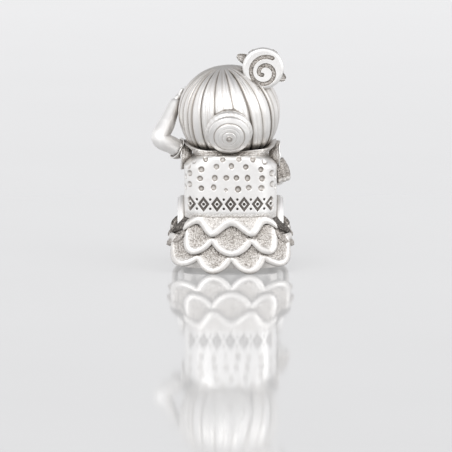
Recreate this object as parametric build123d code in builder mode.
from build123d import *
from math import cos, radians, sin
import os

# Silver bracelet bead: a flamenco dancer with a raised arm, a low bun and a rose.
#
# The origin is the middle of the bore that takes the bracelet, and the bore runs
# along X through the hips. +Z is up, the face looks along -Y, and +X is the
# dancer's left. Lengths are millimetres, and heights are measured from the surface
# that the hem stands on.

os.makedirs("parts", exist_ok=True)

# ---------------------------------------------------------------- driving sizes
# Bore, its lining tube and the two collars
bore_radius = 2.15
tube_wall = 0.22
collar_wall = 0.18
collar_thickness = 0.5
collar_ground_gap = 0.4

# Body block: bodice above the waist, petticoat below it
body_half_width = 3.6
body_half_depth = 4.4
petticoat_half_depth = 3.7
body_bulge = 0.5  # how much deeper the body is in the middle than at its corners
body_corner = 1.2
body_wall = 0.6
waist_height = 4.05
armpit_height = 8.1  # where the sides start to slope in to the shoulders
shoulder_height = 9.05
shoulder_slope = 1.1  # how far each side slopes in

# Yoke round the base of the head
yoke_rise = 0.8
yoke_flare = 0.95  # how much wider each side is at the top
yoke_setback = 0.55  # behind the bodice's back and front

# Closing plate under the petticoat
base_thickness = 0.3
base_clearance = 0.03  # under the tube

# Engraving on the back of the bodice
engraving_depth = 0.13
dot_radius = 0.22
dot_rows = (  # height in the middle, dots, pitch, and how far the row droops at its ends
    (8.72, 8, 0.94, 0.5),
    (8.14, 7, 1.06, 0.5),
    (7.3, 6, 0.94, 0.0),
    (6.45, 8, 0.92, -0.3),
)
band_height = 5.1
lozenge_count = 6
lozenge_pitch = 1.04
lozenge_half_width = 0.34
lozenge_half_height = 0.5
lozenge_line = 0.16

# Skirt ruffles: drop of the root below the waist, height of the hem, half width and
# half depth of the hem, and whether a lobe hangs in the middle
ruffles = {
    "top": (0.0, 2.7, 4.8, 4.85, False),
    "middle": (1.03, 1.35, 5.3, 5.0, True),
    "bottom": (2.13, 0.0, 5.75, 5.15, False),
}
ruffle_thickness = 0.35
ruffle_root = 0.45  # how far the root stands out from the petticoat
ruffle_seat = 0.35  # how deep the root lies against the petticoat
hem_corner = 2.2
scallop_pitch = 2.95
scallop_depth = 0.85
outer_scallop_rise = 0.35  # of the lobes nearest the sides
standing_flat = 0.05  # how far the lowest lobes are faced off to stand on
mouth_clearance = 0.15  # between the collars and the ends of the ruffles

# Head and hair
head_x = 0.1
head_y = 0.5
head_height = 12.15
hair_radius = 3.95
hair_half_height = 3.62
hair_thickness = 0.55
pole_flat = 0.03
face_half_width = 2.75
face_half_height = 2.45
face_height = 11.7
groove_pairs = 13
groove_width = 0.13
groove_depth = 0.12
neck_radius = 0.9
neck_depth = 1.2  # into the head, and as deep into the body

# Bun at the nape
bun_tilt = 25
bun_inset = 0.5  # of its seat inside the back of the hair
bun_height = 10.98
bun_foot = 1.0  # of the ring, buried in the curve of the hair
bun_ring_radius = 1.8
bun_ring_rise = 0.62
bun_coil_steps = ((1.6, 0.42), (1.15, 0.16), (0.6, 0.12))  # radius and rise
bun_button_radius = 0.26
bun_button_rise = 0.1

# Rose over the dancer's right temple
rose_x = -2.5
rose_y = 2.6  # of the spiral's face
rose_height = 15.6
rose_radius = 1.6
rose_thickness = 0.9
rose_round = 0.25
spiral_shift = (-0.18, -0.3)  # of the groove's middle from the rose's
spiral_start_radius = 0.37
spiral_end_radius = 1.22
spiral_start_angle = -58
spiral_sweep = 543
spiral_groove = 0.4
spiral_depth = 0.3
petal_count = 5
petal_radius = 0.75
petal_ring = 0.95
petal_thickness = 0.5
leaf_angles = (25, 208, 285)
leaf_reach = 2.35
leaf_half_width = 0.62
leaf_thickness = 0.3
stud_radius = 0.4
stud_bite = 0.4  # into the hair

# Arms: the elbow and wrist of the raised arm keep clear of the hair
arm_shoulder_inset = 0.3
arm_shoulder_y = 0.25
arm_shoulder_height = 8.7
left_elbow_clear = 1.38
left_elbow_y = 0.95
left_elbow_height = 10.05
left_wrist_clear = 0.12
left_wrist_y = -0.85
left_wrist_height = 12.95
left_hand_direction = (-0.28, -0.6, 0.75)
left_palm_direction = (1, 0, 0.3)
right_elbow_out = 0.1
right_elbow_height = 7.0
right_wrist_inset = 0.2
right_wrist_height = 6.1
right_hand_direction = (0.95, -0.15, -0.2)
shoulder_radius = 0.68
elbow_radius = 0.66
wrist_radius = 0.4
palm_length = 0.62
palm_half_width = 0.45
palm_thickness = 0.38
finger_count = 4
finger_length = 0.62
finger_width = 0.24
finger_spread = 7  # degrees between fingers

# Sleeves
frill_root_radius = 0.82
frill_rim_radius = 1.12
frill_inset = 0.55  # of the frill's root from the body's side
frill_length = 0.9
sleeve_thickness = 0.24
cuff_along = 0.95  # from the shoulder, down the sleeve
cuff_length = 0.42
cuff_rim_radius = 1.0
flounce_along = 0.6
flounce_length = 1.5
flounce_root_radius = 0.72
flounce_rim_radius = 0.92

# ---------------------------------------------------------------- worked out
tube_radius = bore_radius + tube_wall
collar_radius = tube_radius + collar_wall
bore_height = collar_radius + collar_ground_gap
shoulder_half_width = body_half_width - shoulder_slope
base_top = bore_height - tube_radius - base_clearance
base_gap = base_top - base_thickness
bore_length = 2 * (body_half_width + collar_thickness)
mouth_radius = collar_radius + mouth_clearance
yoke_top = shoulder_height + yoke_rise
body_side = body_half_depth - body_bulge


def level(height):
    """Z of a height above the standing surface."""
    return height - bore_height


def at(x, y, height):
    return Vector(x, y, level(height))


def body_plan(half_width, half_depth, corner, height):
    """Plan of the body at a height: flat sides, bowed back and front, round corners."""
    side = half_depth - body_bulge
    with BuildSketch(Plane.XY.offset(level(height))) as plan:
        with BuildLine():
            Line((half_width, -side), (half_width, side))
            ThreePointArc((half_width, side), (0, half_depth), (-half_width, side))
            Line((-half_width, side), (-half_width, -side))
            ThreePointArc((-half_width, -side), (0, -half_depth), (half_width, -side))
        make_face()
        fillet(plan.vertices(), corner)
    return plan.sketch


def spheroid(radius, half_height):
    """Flattened ball about the middle of the head, faced off a little at both poles."""
    with BuildPart() as ball:
        with BuildSketch(Plane(origin=head_centre, x_dir=(1, 0, 0), z_dir=(0, -1, 0))):
            Ellipse(radius, half_height)
            Rectangle(
                radius,
                2 * (half_height - pole_flat),
                align=(Align.MIN, Align.CENTER),
                mode=Mode.INTERSECT,
            )
        revolve(axis=Axis(head_centre, (0, 0, 1)))
    return ball.part


def limb(points, radii):
    """Round limb: tapered runs with a ball at each joint and at the end."""
    with BuildPart() as run:
        for start, end, start_radius, end_radius in zip(points, points[1:], radii, radii[1:]):
            direction = end - start
            with BuildSketch(Plane(origin=start, z_dir=direction)):
                Circle(start_radius)
            with BuildSketch(Plane(origin=end, z_dir=direction)):
                Circle(end_radius)
            loft()
            with Locations(end):
                Sphere(end_radius)
    return run.part


# ---------------------------------------------------------------- shared blocks
head_centre = at(head_x, head_y, head_height)
hair_block = spheroid(hair_radius, hair_half_height)
skin_block = spheroid(hair_radius - hair_thickness, hair_half_height - hair_thickness)

with BuildPart() as body_block:
    body_sketch = body_plan(body_half_width, body_half_depth, body_corner, base_gap)
    extrude(body_sketch, amount=shoulder_height - base_gap)
    with BuildSketch(Plane.XZ):
        with BuildLine():
            Polyline(
                (body_half_width, level(base_gap)),
                (body_half_width, level(armpit_height)),
                (shoulder_half_width, level(shoulder_height)),
                (-shoulder_half_width, level(shoulder_height)),
                (-body_half_width, level(armpit_height)),
                (-body_half_width, level(base_gap)),
                close=True,
            )
        make_face()
    extrude(amount=2 * body_half_depth, both=True, mode=Mode.INTERSECT)

with BuildPart() as body_inside:
    inside_sketch = body_plan(
        body_half_width - body_wall,
        petticoat_half_depth - body_wall,
        body_corner - body_wall / 2,
        base_gap,
    )
    extrude(inside_sketch, amount=armpit_height - body_wall - base_gap)

with BuildPart() as tube_block:
    with BuildSketch(Plane.YZ):
        Circle(tube_radius)
    extrude(amount=bore_length, both=True)

# ---------------------------------------------------------------- bore
with BuildPart() as core_tube:
    with BuildSketch(Plane.YZ):
        Circle(tube_radius)
        Circle(bore_radius, mode=Mode.SUBTRACT)
    extrude(amount=bore_length / 2, both=True)
core_tube.part.label = "core_tube"
export_step(core_tube.part, "parts/core_tube.step")

for name, side in (("collar_left", 1), ("collar_right", -1)):
    with BuildPart() as collar:
        with BuildSketch(Plane.YZ.offset(side * body_half_width)):
            Circle(collar_radius)
            Circle(tube_radius, mode=Mode.SUBTRACT)
        extrude(amount=side * collar_thickness)
    collar.part.label = name
    export_step(collar.part, f"parts/{name}.step")

# ---------------------------------------------------------------- body
with BuildPart() as neck:
    with BuildSketch(Plane.XY.offset(head_centre.Z - hair_half_height - neck_depth)):
        with Locations((head_x, head_y)):
            Circle(neck_radius)
    extrude(amount=2 * neck_depth)
neck.part.label = "neck"
export_step(neck.part, "parts/neck.step")

with BuildPart() as engraving:
    with BuildSketch(Plane.XZ.offset(-body_half_depth)):
        for height, count, pitch, droop in dot_rows:
            for index in range(count):
                across = (index - (count - 1) / 2) * pitch
                sag = droop * (across / body_half_width) ** 2
                with Locations((across, level(height - sag))):
                    Circle(dot_radius)
        with Locations((0, level(band_height))):
            with GridLocations(lozenge_pitch, 1, lozenge_count, 1):
                outer_corners = (
                    (lozenge_half_width, 0),
                    (0, lozenge_half_height),
                    (-lozenge_half_width, 0),
                    (0, -lozenge_half_height),
                )
                Polygon(*outer_corners)
                inner = 1 - lozenge_line / lozenge_half_width
                Polygon(*[(x * inner, y * inner) for x, y in outer_corners], mode=Mode.SUBTRACT)
            with GridLocations(lozenge_pitch, 1, lozenge_count + 1, 1):
                Circle(lozenge_line)
    extrude(amount=body_half_depth)
    floor_sketch = body_plan(
        body_half_width - engraving_depth,
        body_half_depth - engraving_depth,
        body_corner,
        waist_height,
    )
    extrude(floor_sketch, amount=shoulder_height - waist_height, mode=Mode.SUBTRACT)

with BuildPart() as bodice:
    add(body_block.part)
    split(bisect_by=Plane.XY.offset(level(waist_height)), keep=Keep.TOP)
    add(body_inside.part, mode=Mode.SUBTRACT)
    add(tube_block.part, mode=Mode.SUBTRACT)
    add(neck.part, mode=Mode.SUBTRACT)
    add(hair_block, mode=Mode.SUBTRACT)
    add(engraving.part, mode=Mode.SUBTRACT)
bodice.part.label = "bodice"
export_step(bodice.part, "parts/bodice.step")

with BuildPart() as petticoat_block:
    petticoat_sketch = body_plan(body_half_width, petticoat_half_depth, body_corner, base_gap)
    extrude(petticoat_sketch, amount=waist_height - base_gap)

with BuildPart() as petticoat:
    add(petticoat_block.part)
    add(body_inside.part, mode=Mode.SUBTRACT)
    add(tube_block.part, mode=Mode.SUBTRACT)
petticoat.part.label = "petticoat"
export_step(petticoat.part, "parts/petticoat.step")

with BuildPart() as base_plate:
    add(body_inside.part)
    split(bisect_by=Plane.XY.offset(level(base_top)), keep=Keep.BOTTOM)
base_plate.part.label = "base_plate"
export_step(base_plate.part, "parts/base_plate.step")

# ---------------------------------------------------------------- skirt ruffles
with BuildPart() as side_mouths:
    for side in (1, -1):
        with BuildSketch(Plane.YZ.offset(side * body_half_width)):
            Circle(mouth_radius)
            Rectangle(
                2 * mouth_radius, 2 * bore_height, align=(Align.CENTER, Align.MAX)
            )
        extrude(amount=side * body_half_width)

for tier, (root_drop, hem_height, hem_width, hem_depth, middle_lobe) in ruffles.items():
    root_height = waist_height - root_drop
    cusp_height = level(hem_height + scallop_depth)
    first_cusp = scallop_pitch / 2 if middle_lobe else 0
    with BuildPart() as below_hem:
        with BuildSketch(Plane.XZ):
            with BuildLine():
                cusps = [first_cusp + step * scallop_pitch for step in range(-3, 3)]
                for left, right in zip(cusps, cusps[1:]):
                    middle = (left + right) / 2
                    rise = outer_scallop_rise if abs(middle) > scallop_pitch else -standing_flat
                    lobe_tip = (middle, level(hem_height + rise))
                    ThreePointArc((left, cusp_height), lobe_tip, (right, cusp_height))
                Line((cusps[-1], cusp_height), (cusps[-1], level(-1)))
                Line((cusps[-1], level(-1)), (cusps[0], level(-1)))
                Line((cusps[0], level(-1)), (cusps[0], cusp_height))
            make_face()
        extrude(amount=2 * hem_depth, both=True)

    with BuildPart() as ruffle_ring:
        loft(
            [
                body_plan(
                    body_half_width + ruffle_root,
                    petticoat_half_depth + ruffle_root,
                    body_corner + ruffle_root,
                    root_height,
                ),
                body_plan(hem_width, hem_depth, hem_corner, hem_height),
            ],
            ruled=True,
        )
        loft(
            [
                body_plan(
                    body_half_width, petticoat_half_depth, body_corner, root_height - ruffle_seat
                ),
                body_plan(
                    hem_width - ruffle_thickness,
                    hem_depth - ruffle_thickness,
                    hem_corner - ruffle_thickness,
                    hem_height,
                ),
            ],
            ruled=True,
            mode=Mode.SUBTRACT,
        )
        add(petticoat_block.part, mode=Mode.SUBTRACT)
        add(side_mouths.part, mode=Mode.SUBTRACT)
        add(below_hem.part, mode=Mode.SUBTRACT)

    for place, keep in (("back", Keep.BOTTOM), ("front", Keep.TOP)):
        with BuildPart() as ruffle:
            add(ruffle_ring.part)
            split(bisect_by=Plane.XZ, keep=keep)
        ruffle.part.label = f"ruffle_{place}_{tier}"
        export_step(ruffle.part, f"parts/ruffle_{place}_{tier}.step")

# ---------------------------------------------------------------- head and hair
with BuildPart() as head:
    add(skin_block)
    add(neck.part, mode=Mode.SUBTRACT)
head.part.label = "head"
export_step(head.part, "parts/head.step")

with BuildPart() as hair_grooves:
    add(hair_block)
    add(spheroid(hair_radius - groove_depth, hair_half_height - groove_depth), mode=Mode.SUBTRACT)
    with BuildSketch(Plane.XY.offset(head_centre.Z - hair_half_height)):
        with Locations((head_x, head_y)):
            for index in range(groove_pairs):
                Rectangle(
                    3 * hair_radius, groove_width, rotation=180 * (index + 0.5) / groove_pairs
                )
    extrude(amount=2 * hair_half_height, mode=Mode.INTERSECT)

rose_plane = Plane(origin=at(rose_x, rose_y, rose_height), x_dir=(1, 0, 0), z_dir=(0, -1, 0))
rose_middle = rose_plane.origin - Vector(0, rose_thickness + petal_thickness, 0)
stud_direction = (rose_middle - head_centre).normalized()
stud_foot = head_centre + stud_direction * (hair_half_height - stud_bite)
with BuildPart() as stud_block:
    with BuildSketch(Plane(origin=stud_foot, z_dir=stud_direction)):
        Circle(stud_radius)
    extrude(amount=(rose_middle - stud_foot).length)

with BuildPart() as hair_cap:
    add(hair_block)
    add(skin_block, mode=Mode.SUBTRACT)
    add(hair_grooves.part, mode=Mode.SUBTRACT)
    add(neck.part, mode=Mode.SUBTRACT)
    add(stud_block.part, mode=Mode.SUBTRACT)
    with BuildSketch(Plane.XZ.offset(-head_y)):
        with Locations((head_x, level(face_height))):
            Ellipse(face_half_width, face_half_height)
    extrude(amount=2 * hair_radius, mode=Mode.SUBTRACT)
hair_cap.part.label = "hair_cap"
export_step(hair_cap.part, "parts/hair_cap.step")

# ---------------------------------------------------------------- bun
tilt = radians(bun_tilt)
bun_plane = Plane(
    origin=at(head_x, head_y + hair_radius - bun_inset, bun_height),
    x_dir=(1, 0, 0),
    z_dir=(0, cos(tilt), -sin(tilt)),
)
with BuildPart() as bun_ring:
    with BuildSketch(bun_plane.offset(-bun_foot)):
        Circle(bun_ring_radius)
    extrude(amount=bun_foot + bun_ring_rise)
    fillet(bun_ring.edges().sort_by(Axis.Y)[-1], bun_ring_rise / 3)
    add(hair_block, mode=Mode.SUBTRACT)
bun_ring.part.label = "bun_ring"
export_step(bun_ring.part, "parts/bun_ring.step")

coil_top = bun_ring_rise
with BuildPart() as bun_coil:
    for radius, rise in bun_coil_steps:
        with BuildSketch(bun_plane.offset(coil_top)):
            Circle(radius)
        extrude(amount=rise)
        coil_top += rise
bun_coil.part.label = "bun_coil"
export_step(bun_coil.part, "parts/bun_coil.step")

with BuildPart() as bun_button:
    with BuildSketch(bun_plane.offset(coil_top)):
        Circle(bun_button_radius)
    extrude(amount=bun_button_rise)
bun_button.part.label = "bun_button"
export_step(bun_button.part, "parts/bun_button.step")

# ---------------------------------------------------------------- yoke
with BuildPart() as shoulder_yoke:
    with BuildSketch(Plane.XY.offset(level(shoulder_height))):
        RectangleRounded(
            2 * shoulder_half_width, 2 * (body_side - yoke_setback), body_corner
        )
    with BuildSketch(Plane.XY.offset(level(yoke_top))):
        RectangleRounded(
            2 * (shoulder_half_width + yoke_flare), 2 * (body_side - yoke_setback), body_corner
        )
    loft()
    add(hair_block, mode=Mode.SUBTRACT)
    add(bun_ring.part, mode=Mode.SUBTRACT)
shoulder_yoke.part.label = "shoulder_yoke"
export_step(shoulder_yoke.part, "parts/shoulder_yoke.step")

# ---------------------------------------------------------------- rose
def spiral_points(shift, count=24):
    """Points of the groove's edge that lies this far outside its middle line."""
    points = []
    for index in range(count + 1):
        share = index / count
        angle = radians(spiral_start_angle + share * spiral_sweep)
        radius = spiral_start_radius + share * (spiral_end_radius - spiral_start_radius) + shift
        points.append(
            (spiral_shift[0] + radius * cos(angle), spiral_shift[1] + radius * sin(angle))
        )
    return points


with BuildPart() as rose_spiral:
    with BuildSketch(rose_plane):
        Circle(rose_radius)
    extrude(amount=rose_thickness)
    fillet(rose_spiral.edges().sort_by(Axis.Y)[-1], rose_round)
    with BuildSketch(rose_plane):
        with BuildLine():
            outside = Spline(spiral_points(spiral_groove / 2))
            inside = Spline(spiral_points(-spiral_groove / 2))
            Line(outside @ 0, inside @ 0)
            Line(outside @ 1, inside @ 1)
        make_face()
    extrude(amount=spiral_depth, mode=Mode.SUBTRACT)
    add(hair_block, mode=Mode.SUBTRACT)
rose_spiral.part.label = "rose_spiral"
export_step(rose_spiral.part, "parts/rose_spiral.step")

with BuildPart() as rose_petals:
    with BuildSketch(rose_plane.offset(rose_thickness)):
        Circle(petal_ring)
        with PolarLocations(petal_ring, petal_count, start_angle=90):
            Circle(petal_radius)
    extrude(amount=petal_thickness)
    add(hair_block, mode=Mode.SUBTRACT)
rose_petals.part.label = "rose_petals"
export_step(rose_petals.part, "parts/rose_petals.step")

with BuildPart() as rose_leaves:
    with BuildSketch(rose_plane.offset(rose_thickness + petal_thickness)):
        Circle(stud_radius + leaf_half_width / 2)
        for angle in leaf_angles:
            with BuildLine(Plane.XY.rotated((0, 0, angle))):
                ThreePointArc((0, 0), (leaf_reach / 2, leaf_half_width), (leaf_reach, 0))
                ThreePointArc((0, 0), (leaf_reach / 2, -leaf_half_width), (leaf_reach, 0))
            make_face()
    extrude(amount=leaf_thickness)
    add(hair_block, mode=Mode.SUBTRACT)
rose_leaves.part.label = "rose_leaves"
export_step(rose_leaves.part, "parts/rose_leaves.step")

with BuildPart() as rose_stud:
    add(stud_block.part)
    add(skin_block, mode=Mode.SUBTRACT)
    add(rose_petals.part, mode=Mode.SUBTRACT)
    add(rose_leaves.part, mode=Mode.SUBTRACT)
rose_stud.part.label = "rose_stud"
export_step(rose_stud.part, "parts/rose_stud.step")

# ---------------------------------------------------------------- arms
def hand(wrist, reach, palm_normal):
    """Flat hand with its fingers fanned, from the wrist along the reach."""
    plane = Plane(origin=wrist, x_dir=reach, z_dir=palm_normal)
    with BuildPart() as shape:
        with BuildSketch(plane.offset(-palm_thickness / 2)):
            with Locations((palm_length / 2, 0)):
                RectangleRounded(palm_length, 2 * palm_half_width, palm_half_width / 2)
            for index in range(finger_count):
                fan = (index - (finger_count - 1) / 2) * finger_spread
                root = (index - (finger_count - 1) / 2) * finger_width
                tip = palm_length + finger_length
                with Locations(Location((tip / 2, root, 0), fan)):
                    SlotOverall(tip, finger_width)
            with Locations(Location((palm_length / 2, palm_half_width, 0), 55)):
                SlotOverall(finger_length, finger_width)
        extrude(amount=palm_thickness)
    return shape.part


left_shoulder = at(body_half_width - arm_shoulder_inset, arm_shoulder_y, arm_shoulder_height)
left_elbow = at(head_x + hair_radius + left_elbow_clear, left_elbow_y, left_elbow_height)
left_wrist = at(head_x + hair_radius + left_wrist_clear, left_wrist_y, left_wrist_height)
right_shoulder = at(
    arm_shoulder_inset - body_half_width, arm_shoulder_y, arm_shoulder_height
)
right_elbow = at(-body_half_width - right_elbow_out, arm_shoulder_y, right_elbow_height)
right_wrist = at(
    right_wrist_inset - body_half_width, -body_side - wrist_radius, right_wrist_height
)
radii = (shoulder_radius, elbow_radius, wrist_radius)
left_limb = limb((left_shoulder, left_elbow, left_wrist), radii)
right_limb = limb((right_shoulder, right_elbow, right_wrist), radii)
left_palm = hand(left_wrist, left_hand_direction, left_palm_direction)
right_palm = hand(right_wrist, right_hand_direction, (0, -1, 0))

with BuildPart() as arm_left:
    add(left_limb)
    add(body_block.part, mode=Mode.SUBTRACT)
    add(shoulder_yoke.part, mode=Mode.SUBTRACT)
    add(hair_block, mode=Mode.SUBTRACT)
arm_left.part.label = "arm_left"
export_step(arm_left.part, "parts/arm_left.step")

with BuildPart() as hand_left:
    add(left_palm)
    add(left_limb, mode=Mode.SUBTRACT)
    add(hair_block, mode=Mode.SUBTRACT)
hand_left.part.label = "hand_left"
export_step(hand_left.part, "parts/hand_left.step")

with BuildPart() as arm_right:
    add(right_limb)
    add(body_block.part, mode=Mode.SUBTRACT)
    add(shoulder_yoke.part, mode=Mode.SUBTRACT)
    add(hair_block, mode=Mode.SUBTRACT)
arm_right.part.label = "arm_right"
export_step(arm_right.part, "parts/arm_right.step")

with BuildPart() as hand_right:
    add(right_palm)
    add(right_limb, mode=Mode.SUBTRACT)
    add(body_block.part, mode=Mode.SUBTRACT)
hand_right.part.label = "hand_right"
export_step(hand_right.part, "parts/hand_right.step")

# ---------------------------------------------------------------- sleeves
def flare(start, direction, length, root_radius, rim_radius):
    """Open cone of sleeve silver about the arm."""
    near = Plane(origin=start, z_dir=direction)
    with BuildPart() as shape:
        with BuildSketch(near):
            Circle(root_radius)
        with BuildSketch(near.offset(length)):
            Circle(rim_radius)
        loft()
        with BuildSketch(near.offset(sleeve_thickness)):
            Circle(root_radius - sleeve_thickness)
        with BuildSketch(near.offset(length)):
            Circle(rim_radius - sleeve_thickness)
        loft(mode=Mode.SUBTRACT)
    return shape.part


for name, side, limb_part in (
    ("shoulder_frill_left", 1, left_limb),
    ("shoulder_frill_right", -1, right_limb),
):
    root = at(side * (body_half_width - frill_inset), arm_shoulder_y, arm_shoulder_height)
    frill = flare(root, (side, 0, 0), frill_length, frill_root_radius, frill_rim_radius)
    with BuildPart() as shoulder_frill:
        add(frill)
        add(limb_part, mode=Mode.SUBTRACT)
        add(body_block.part, mode=Mode.SUBTRACT)
        add(shoulder_yoke.part, mode=Mode.SUBTRACT)
        add(hair_block, mode=Mode.SUBTRACT)
    shoulder_frill.part.label = name
    export_step(shoulder_frill.part, f"parts/{name}.step")

left_upper_arm = (left_elbow - left_shoulder).normalized()
cuff = flare(
    left_shoulder + left_upper_arm * cuff_along,
    left_upper_arm,
    cuff_length,
    shoulder_radius + sleeve_thickness,
    cuff_rim_radius,
)
with BuildPart() as sleeve_cuff_left:
    add(cuff)
    add(left_limb, mode=Mode.SUBTRACT)
    add(hair_block, mode=Mode.SUBTRACT)
sleeve_cuff_left.part.label = "sleeve_cuff_left"
export_step(sleeve_cuff_left.part, "parts/sleeve_cuff_left.step")

right_upper_arm = (right_elbow - right_shoulder).normalized()
flounce = flare(
    right_shoulder + right_upper_arm * flounce_along,
    right_upper_arm,
    flounce_length,
    flounce_root_radius,
    flounce_rim_radius,
)
with BuildPart() as sleeve_flounce_right:
    add(flounce)
    add(shoulder_frill.part, mode=Mode.SUBTRACT)  # the right one, made last
    add(right_limb, mode=Mode.SUBTRACT)
    add(body_block.part, mode=Mode.SUBTRACT)
sleeve_flounce_right.part.label = "sleeve_flounce_right"
export_step(sleeve_flounce_right.part, "parts/sleeve_flounce_right.step")
